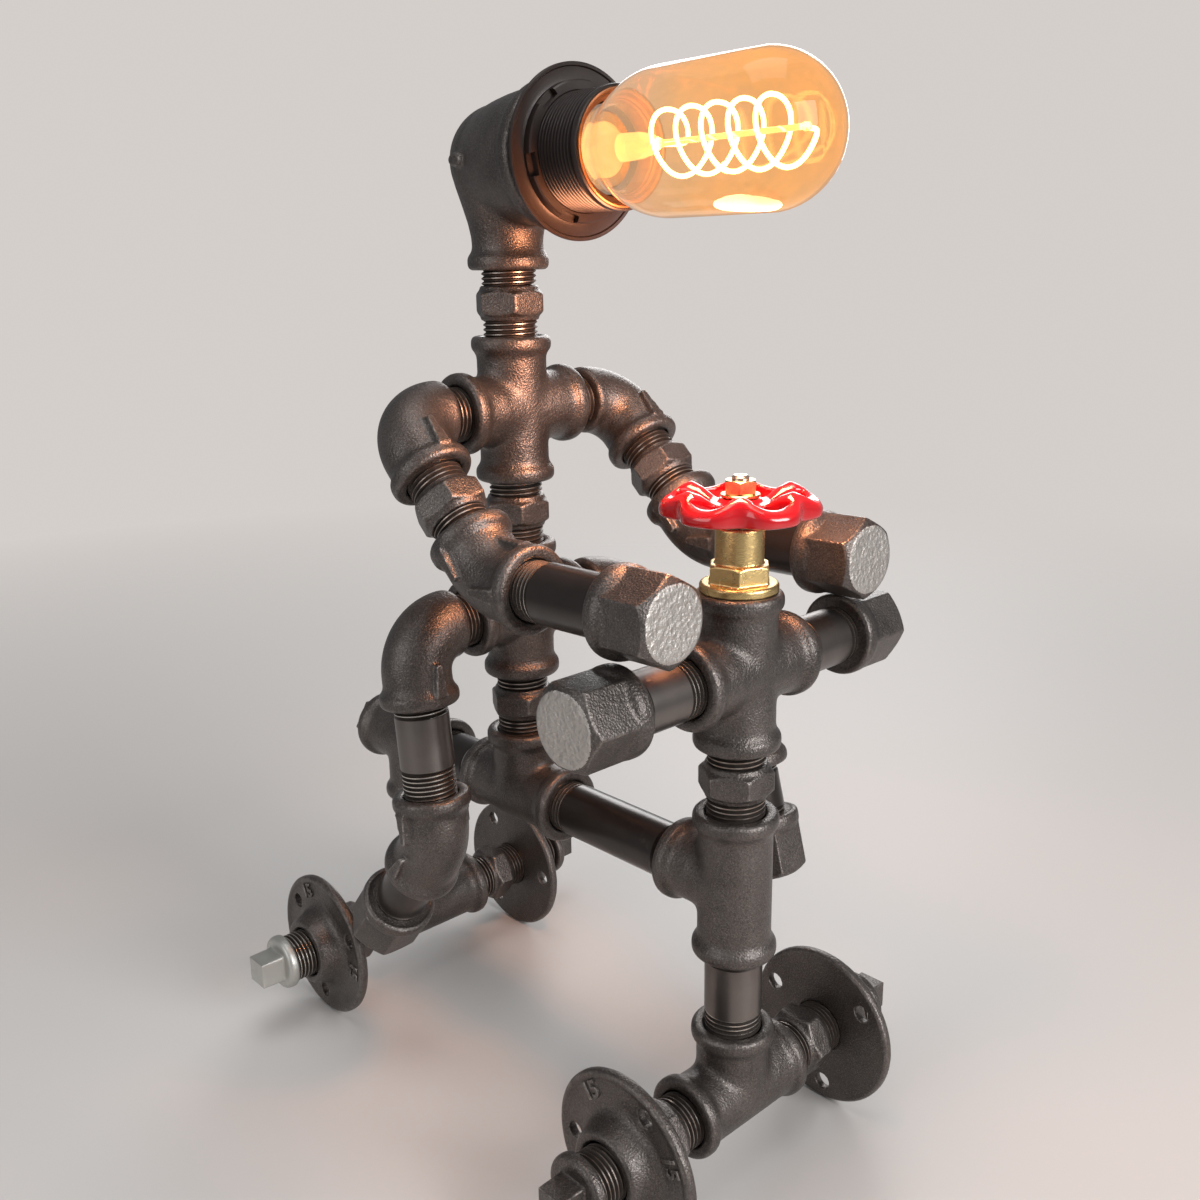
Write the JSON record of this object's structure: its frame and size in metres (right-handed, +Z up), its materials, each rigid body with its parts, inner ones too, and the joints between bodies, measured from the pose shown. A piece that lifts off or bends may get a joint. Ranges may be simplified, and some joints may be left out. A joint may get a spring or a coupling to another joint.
{
  "type": "pipe table lamp",
  "caption": "Table lamp made of black malleable pipe fittings in the shape of a seated rider, with a tubular bulb for a head, flange wheels and a red valve handwheel as the dimmer.",
  "frame": {"origin": "on the table, at the centre of the lamp's bounding box", "axes": "+Z up, -Y the way the rider faces, -X the rider's right side"},
  "size_m": [0.183, 0.2738, 0.4004],
  "materials": {
    "black_casting": "coarse dark lacquered casting with a fine metallic sparkle",
    "black_pipe": "smooth dark lacquered steel pipe, satin, with bright cut threads",
    "zinc": "dull galvanised",
    "brass": "turned, slightly aged",
    "steel": "bright steel",
    "red_enamel": "glossy red enamel",
    "holder_bronze": "dark bronze, satin",
    "insulator": "matt moulding",
    "amber_glass": "clear amber glass",
    "clear_glass": "clear glass",
    "flex_sheath": "matt sheath"
  },
  "bodies": {
    "frame": {"axle_tees": "black_casting", "column_pipes": "black_pipe", "column_tee": "black_casting", "rear_tee": "black_casting", "seat_tee": "black_casting", "rail_pipes": "black_pipe", "hex_nipples": "black_casting", "hip_cross": "black_casting", "chest_cross": "black_casting", "handlebar_cross": "black_casting", "handlebar_pipes": "black_pipe", "handlebar_caps": "black_casting", "axle_nipples": "black_casting", "valve_bonnet": "brass", "dimmer_body": "insulator", "frame_flex": "flex_sheath", "splice_block": "insulator", "cable_gland": "insulator"},
    "head": {"head_elbow": "black_casting", "lampholder_shell": "holder_bronze", "shade_ring": "holder_bronze", "lampholder_core": "insulator", "lampholder_contacts": "brass", "bulb_cap": "brass", "bulb_glass": "amber_glass", "bulb_mount": "clear_glass", "filament": "steel", "head_flex": "flex_sheath"},
    "handwheel": {"valve_stem": "steel", "handwheel": "red_enamel", "handwheel_washer": "brass", "handwheel_nut": "brass"},
    "arm_right": {"shoulder_elbow_right": "black_casting", "arm_nipple_right": "black_casting", "forearm_elbow_right": "black_casting", "hand_pipe_right": "black_pipe", "hand_cap_right": "black_casting"},
    "leg_right": {"hip_elbow_right": "black_casting", "thigh_pipe_right": "black_pipe"},
    "shin_right": {"knee_elbow_right": "black_casting", "shin_pipe_right": "black_pipe", "foot_cap_right": "black_casting"},
    "arm_left": {"shoulder_elbow_left": "black_casting", "arm_nipple_left": "black_casting", "forearm_elbow_left": "black_casting", "hand_pipe_left": "black_pipe", "hand_cap_left": "black_casting"},
    "leg_left": {"hip_elbow_left": "black_casting", "thigh_pipe_left": "black_pipe"},
    "shin_left": {"knee_elbow_left": "black_casting", "shin_pipe_left": "black_pipe", "foot_cap_left": "black_casting"},
    "wheel_front_right": {"wheel_front_right": "black_casting", "wheel_plug_front_right": "black_casting"},
    "wheel_front_left": {"wheel_front_left": "black_casting", "wheel_plug_front_left": "black_casting"},
    "wheel_rear_right": {"wheel_rear_right": "black_casting", "wheel_plug_rear_right": "zinc"},
    "wheel_rear_left": {"wheel_rear_left": "black_casting", "wheel_plug_rear_left": "black_casting"}
  },
  "joints": [
    {"name": "head_turn", "type": "hinge", "parent": "frame", "child": "head", "pos_m": [0, 0.01888, 0.371], "axis": [0, 0, 1], "range_deg": [-90, 90]},
    {"name": "handwheel_turn", "type": "hinge", "parent": "frame", "child": "handwheel", "pos_m": [0, -0.09812, 0.25], "axis": [0, 0, -1], "range_deg": [0, 300]},
    {"name": "arm_lift_right", "type": "hinge", "parent": "frame", "child": "arm_right", "pos_m": [-0.0535, 0.01888, 0.2795], "axis": [-1, 0, 0], "range_deg": [0, 90]},
    {"name": "arm_lift_left", "type": "hinge", "parent": "frame", "child": "arm_left", "pos_m": [0.0535, 0.01888, 0.2795], "axis": [-1, 0, 0], "range_deg": [0, 90]},
    {"name": "leg_lift_right", "type": "hinge", "parent": "frame", "child": "leg_right", "pos_m": [-0.0535, 0.01888, 0.199], "axis": [-1, 0, 0], "range_deg": [0, 60]},
    {"name": "leg_lift_left", "type": "hinge", "parent": "frame", "child": "leg_left", "pos_m": [0.0535, 0.01888, 0.199], "axis": [-1, 0, 0], "range_deg": [-50, 10]},
    {"name": "knee_twist_right", "type": "hinge", "parent": "leg_right", "child": "shin_right", "pos_m": [-0.0535, 0.01888, 0.199], "axis": [0, 0.1045, 0.9945], "range_deg": [0, 90]},
    {"name": "knee_twist_left", "type": "hinge", "parent": "leg_left", "child": "shin_left", "pos_m": [0.0535, 0.01888, 0.199], "axis": [0, -0.866, -0.5], "range_deg": [0, 90]},
    {"name": "wheel_turn_front_right", "type": "hinge", "parent": "frame", "child": "wheel_front_right", "pos_m": [-0.054, -0.09812, 0.0325], "axis": [-1, 0, 0], "range_deg": [-180, 180]},
    {"name": "wheel_turn_front_left", "type": "hinge", "parent": "frame", "child": "wheel_front_left", "pos_m": [0.054, -0.09812, 0.0325], "axis": [1, 0, 0], "range_deg": [-180, 180]},
    {"name": "wheel_turn_rear_right", "type": "hinge", "parent": "frame", "child": "wheel_rear_right", "pos_m": [-0.054, 0.09988, 0.0325], "axis": [-1, 0, 0], "range_deg": [-180, 180]},
    {"name": "wheel_turn_rear_left", "type": "hinge", "parent": "frame", "child": "wheel_rear_left", "pos_m": [0.054, 0.09988, 0.0325], "axis": [1, 0, 0], "range_deg": [-180, 180]}
  ]
}
